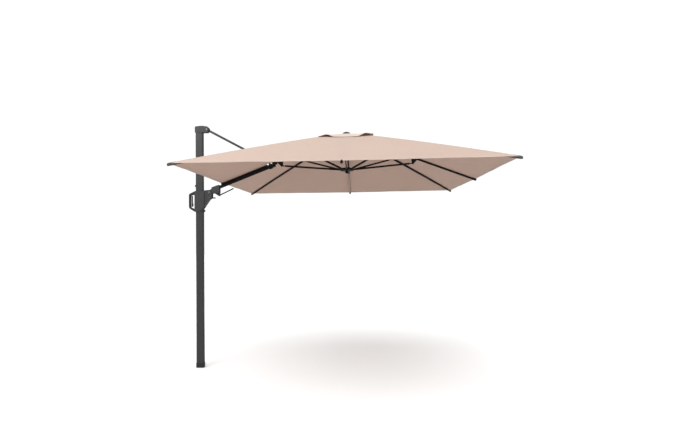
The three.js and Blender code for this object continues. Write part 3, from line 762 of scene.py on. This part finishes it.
def build_vent():
    """Vent flap: a piece for each rib, and a small cap in eight pieces that stays with the crown."""
    rows = spaced(VENT_CAP, VENT_HALF - VENT_HEM - VENT_HEM_SLOPE, VENT_ROWS)
    rows += [VENT_HALF - VENT_HEM, VENT_HALF - VENT_HEM / 2, VENT_HALF]
    for index, side in enumerate(SIDES):
        columns = seam_columns(VENT_CORNER) if is_corner(index) else even_columns(index, VENT_MIDDLE)
        point = slack_vent_point if side == SLACK_SIDE else vent_point
        piece = sheet("vent_" + side, index, rows, columns, point, vent_fold, VENT_HALF, VENT_CANVAS)
        follow_rib(piece, index, "vent_fabric")
    rows = spaced(VENT_HOLE, VENT_CAP, VENT_CAP_ROWS)
    for index, side in enumerate(SIDES):
        columns = even_columns(index, VENT_CAP_COLUMNS)
        piece = sheet("vent_cap_" + side, index, rows, columns, vent_point, no_fold, VENT_HALF, VENT_CANVAS)
        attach(piece, "crown")


build_canopy()
build_vent()


# ---------------------------------------------------------------- rib end caps and sleeve

# Rings of an end cap: place past the hem, half width, underside and top from the rib's centre line.
CAP_RINGS = (
    (-0.094, 0.0104, -0.0146, 0.0086),
    (-0.092, 0.0110, -0.0152, 0.0098),
    (-0.070, 0.0120, -0.0158, 0.0126),
    (-0.026, 0.0126, -0.0158, 0.0142),
    (-0.006, 0.0124, -0.0156, 0.0130),
    (0.002, 0.0116, -0.0150, 0.0106),
    (0.0060, 0.0100, -0.0134, 0.0080),
    (0.0080, 0.0076, -0.0104, 0.0046),
)
MIDDLE_CAP = 0.5            # length of a middle rib's cap, as a share of a corner rib's
RING_POINTS = 16
RING_SQUARENESS = 0.72      # 0 is an ellipse, 1 a rectangle

SLEEVE_START = 0.870        # from the crown's hinge, just past the clip
SLEEVE_END = 0.055          # from the hem
SLEEVE = (0.0100, -0.0150, 0.0078)      # half width, underside and top, from the rib's centre line
SLEEVE_MOUTH = (0.0088, -0.0138, 0.0070)
SLEEVE_SLACK = 0.0004       # depth of its creases
SLEEVE_LIP = 0.001          # length of the turn at each mouth


def rib_run(index):
    """Slope and length of a rib's centre line from the crown's hinge to the hem."""
    reach = HALF * math.sqrt(2) if is_corner(index) else HALF
    hem = MID_HEM + (CORNER_RISE if is_corner(index) else 0.0)
    cloth_slope = math.atan((APEX - hem) / reach)
    slope = math.atan((HINGE_Z - hem + RIB_DROP / math.cos(cloth_slope)) / (reach - HINGE_RADIUS))
    return slope, (reach - HINGE_RADIUS) / math.cos(slope)


def rib_point(index, station):
    """Point on a rib's centre line at a station from the crown's hinge, and the way up from the rib there."""
    slope, length = rib_run(index)
    share = min(station / (length + RIB_OVERHANG), 1.0)
    arch = RIB_ARCH if is_corner(index) else 0.0
    bend = 4 * arch * (1 - 2 * share) / length
    towards, _ = turned(index * math.pi / 4)
    along = towards * math.cos(slope) - Vector((0, 0, math.sin(slope)))
    up = towards * math.sin(slope) + Vector((0, 0, math.cos(slope)))
    start = CENTRE + HINGE_RADIUS * towards + Vector((0, 0, HINGE_Z))
    return start + along * station + up * arch * bell(share), (up - bend * along).normalized()


def rib_ring(index, station, half, low, high):
    """Rounded rectangle of points round a rib: half width across it, and heights from its centre line."""
    point, up = rib_point(index, station)
    _, across = turned(index * math.pi / 4)
    ring = []
    for k in range(RING_POINTS):
        turn = 2 * math.pi * (k + 0.5) / RING_POINTS
        squared = max(abs(math.cos(turn)), abs(math.sin(turn))) ** -RING_SQUARENESS
        x = half * math.cos(turn) * squared
        z = (high + low) / 2 + (high - low) / 2 * math.sin(turn) * squared
        ring.append(point + across * x + up * z)
    return ring


def lofted(name, rings, material):
    """Closed solid through rings of points, with its ends closed."""
    mesh = bmesh.new()
    loops = [[mesh.verts.new(point) for point in ring] for ring in rings]
    count = len(loops[0])
    for first, second in zip(loops, loops[1:]):
        for k in range(count):
            mesh.faces.new((first[k], first[(k + 1) % count], second[(k + 1) % count], second[k]))
    mesh.faces.new(loops[0][::-1])
    mesh.faces.new(loops[-1])
    bmesh.ops.recalc_face_normals(mesh, faces=mesh.faces)
    for face in mesh.faces:
        face.smooth = True
    return as_piece(mesh, name, material)


def rounded(piece):
    """The same piece, subdivided once."""
    fine = piece.modifiers.new("fine", "SUBSURF")
    fine.levels = 1
    fine.render_levels = 1
    return piece


def build_end_caps():
    """Moulded cap that closes each rib and grips the cloth's corner or edge."""
    for index, side in enumerate(SIDES):
        _, length = rib_run(index)
        shorter = 1.0 if is_corner(index) else MIDDLE_CAP
        rings = [rib_ring(index, length + shorter * place, *section) for place, *section in CAP_RINGS]
        # The middle ribs' caps are the same part as the grey corner caps, made near black: painted shade
        cap = rounded(lofted("rib_end_cap_" + side, rings, CAP_GREY if is_corner(index) else SHADED_MOULDING))
        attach(cap, body_of_side(side))


def build_sleeve():
    """Cloth sleeve over the outer half of the back rib, which is pale there."""
    index = SIDES.index("back")
    _, length = rib_run(index)
    rings = [rib_ring(index, SLEEVE_START - SLEEVE_LIP, *SLEEVE_MOUTH)]
    half, low, high = SLEEVE
    for k, station in enumerate(spaced(SLEEVE_START, length - SLEEVE_END, 40)):
        slack = SLEEVE_SLACK * math.sin(2.1 * k) * math.sin(0.7 * k)
        rings.append(rib_ring(index, station, half + slack, low - slack, high))
    rings.append(rib_ring(index, length - SLEEVE_END + SLEEVE_LIP, *SLEEVE_MOUTH))
    sleeve = rounded(lofted("rib_back_sleeve", rings, VENT_CANVAS))
    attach(sleeve, "rib_back")


build_end_caps()
build_sleeve()


# ---------------------------------------------------------------- hoist cord

CORD_POINTS = 20
CORD_ROWS = 240
STRANDS = 4                 # each way round the cord
BRAID_TWIST = 380           # radians of the strands' wave in one metre
BRAID_DEPTH = 0.10          # share of the cord's radius


def build_cord():
    """Braided cord from the crown to the runner."""
    low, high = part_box("hoist_cord")
    centre = (low + high) / 2
    radius = (high.x - low.x) / 2
    rings = []
    for height in spaced(high.z, low.z, CORD_ROWS):
        ring = []
        for k in range(CORD_POINTS):
            turn = 2 * math.pi * k / CORD_POINTS
            one_way, other_way = (math.cos(STRANDS * turn + way * BRAID_TWIST * height) for way in (1, -1))
            reach = radius * (1 - BRAID_DEPTH + BRAID_DEPTH * one_way * other_way)
            outward, _ = turned(turn)
            ring.append(Vector((centre.x, centre.y, height)) + reach * outward)
        rings.append(ring)
    cord = lofted("hoist_cord_braid", rings, MATERIALS["cord"])
    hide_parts("hoist_cord")
    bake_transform(cord)


build_cord()


# ---------------------------------------------------------------- stage

FLOOR_SIZE = 60
FLOOR_SEEN = 0.93           # brightness of the floor's paint as the camera sees it
FLOOR_BOUNCE = 0.54         # and as it lights the object
FLOOR_LIFT = 0.20           # glow of the floor as the camera sees it
AMBIENT_LOW = 0.28          # light from level and below
AMBIENT_HIGH = 0.66         # light from straight above
BACKDROP = 1.05             # brightness of the surroundings as the camera sees them

# Suns: name, the way the light goes, its spread in degrees, and its strength
SUNS = (
    ("overhead", (0.12, 0.45, -1.0), 80, 2.25),
    ("front", (0.35, 1.0, -0.25), 50, 0.18),
)

# Small soft panel in front of the mast's head, and what it shines at.
PANEL_PLACE = (-0.9, -2.0, 3.7)
PANEL_TARGET = (0.0, 0.0, 2.8)
PANEL_SIZE = 0.9
PANEL_POWER = 12.0


def build_floor():
    bpy.ops.mesh.primitive_plane_add(size=FLOOR_SIZE, location=(0, 0, 0))
    floor = bpy.context.object
    floor.name = "floor"
    s = Shader("floor_paint", Roughness=0.9)
    seen = s.node("ShaderNodeLightPath").outputs["Is Camera Ray"]
    paint = s.shade((1, 1, 1), s.spread(s.noise(s.position(), 0.8), 0.99, 1.01))
    s.feed(s.surface.inputs["Base Color"], s.shade(paint, s.spread(seen, FLOOR_BOUNCE, FLOOR_SEEN)))
    s.surface.inputs["Specular IOR Level"].default_value = 0.0
    s.surface.inputs["Emission Color"].default_value = (1, 1, 1, 1)
    s.feed(s.surface.inputs["Emission Strength"], s.maths("MULTIPLY", seen, FLOOR_LIFT))
    floor.data.materials.append(s.material)


def build_surroundings():
    """White surroundings, which light the object more from above than from below."""
    world = bpy.data.worlds.new("studio")
    bpy.context.scene.world = world
    world.use_nodes = True
    tree = world.node_tree
    lighting = tree.nodes["Background"]
    direction = tree.nodes.new("ShaderNodeSeparateXYZ")
    strength = tree.nodes.new("ShaderNodeMapRange")
    strength.inputs["To Min"].default_value = AMBIENT_LOW
    strength.inputs["To Max"].default_value = AMBIENT_HIGH
    backdrop = tree.nodes.new("ShaderNodeBackground")
    backdrop.inputs["Strength"].default_value = BACKDROP
    for background in (lighting, backdrop):
        background.inputs["Color"].default_value = (1, 1, 1, 1)
    path = tree.nodes.new("ShaderNodeLightPath")
    pick = tree.nodes.new("ShaderNodeMixShader")
    for source, target in (
        (tree.nodes.new("ShaderNodeTexCoord").outputs["Generated"], direction.inputs[0]),
        (direction.outputs["Z"], strength.inputs["Value"]),
        (strength.outputs[0], lighting.inputs["Strength"]),
        (path.outputs["Is Camera Ray"], pick.inputs[0]),
        (lighting.outputs[0], pick.inputs[1]),
        (backdrop.outputs[0], pick.inputs[2]),
        (pick.outputs[0], tree.nodes["World Output"].inputs["Surface"]),
    ):
        tree.links.new(source, target)


def hang_lamp(lamp, direction):
    """Lamp in the scene that shines in a direction."""
    holder = bpy.data.objects.new(lamp.name, lamp)
    holder.rotation_euler = direction.to_track_quat("-Z", "Y").to_euler()
    bpy.context.scene.collection.objects.link(holder)
    return holder


def build_lights():
    for name, direction, spread, strength in SUNS:
        sun = bpy.data.lights.new(name, "SUN")
        sun.angle = math.radians(spread)
        sun.energy = strength
        hang_lamp(sun, Vector(direction))
    panel = bpy.data.lights.new("mast_panel", "AREA")
    panel.shape = "DISK"
    panel.size = PANEL_SIZE
    panel.energy = PANEL_POWER
    hang_lamp(panel, Vector(PANEL_TARGET) - Vector(PANEL_PLACE)).location = PANEL_PLACE


# ---------------------------------------------------------------- camera

CAMERA_PLACE = Vector((1.9187, -5.3024, 1.5635))    # in front, at standing height
CAMERA_YAW = math.radians(2.786)                    # turned towards the mast
CAMERA_PITCH = math.radians(1.451)                  # looking slightly up
CAMERA_ROLL = math.radians(-0.691)
CAMERA_LENS = 23.206                                # mm, on a sensor of 36 mm
CAMERA_SHIFT = (0.0158, 0.0014)


def build_camera():
    level = Vector((-math.sin(CAMERA_YAW), math.cos(CAMERA_YAW), 0))
    right = Vector((math.cos(CAMERA_YAW), math.sin(CAMERA_YAW), 0))
    forward = level * math.cos(CAMERA_PITCH) + Vector((0, 0, math.sin(CAMERA_PITCH)))
    upward = Vector((0, 0, math.cos(CAMERA_PITCH))) - level * math.sin(CAMERA_PITCH)
    rolled_right = right * math.cos(CAMERA_ROLL) + upward * math.sin(CAMERA_ROLL)
    rolled_up = upward * math.cos(CAMERA_ROLL) - right * math.sin(CAMERA_ROLL)
    lens = bpy.data.cameras.new("camera")
    lens.sensor_width = 36
    lens.lens = CAMERA_LENS
    lens.shift_x, lens.shift_y = CAMERA_SHIFT
    camera = bpy.data.objects.new("camera", lens)
    turn = Matrix((rolled_right, rolled_up, -forward)).transposed().to_4x4()
    camera.matrix_world = Matrix.Translation(CAMERA_PLACE) @ turn
    bpy.context.scene.collection.objects.link(camera)
    bpy.context.scene.camera = camera


build_floor()
build_surroundings()
build_lights()
build_camera()
bpy.context.scene.view_settings.view_transform = "Standard"
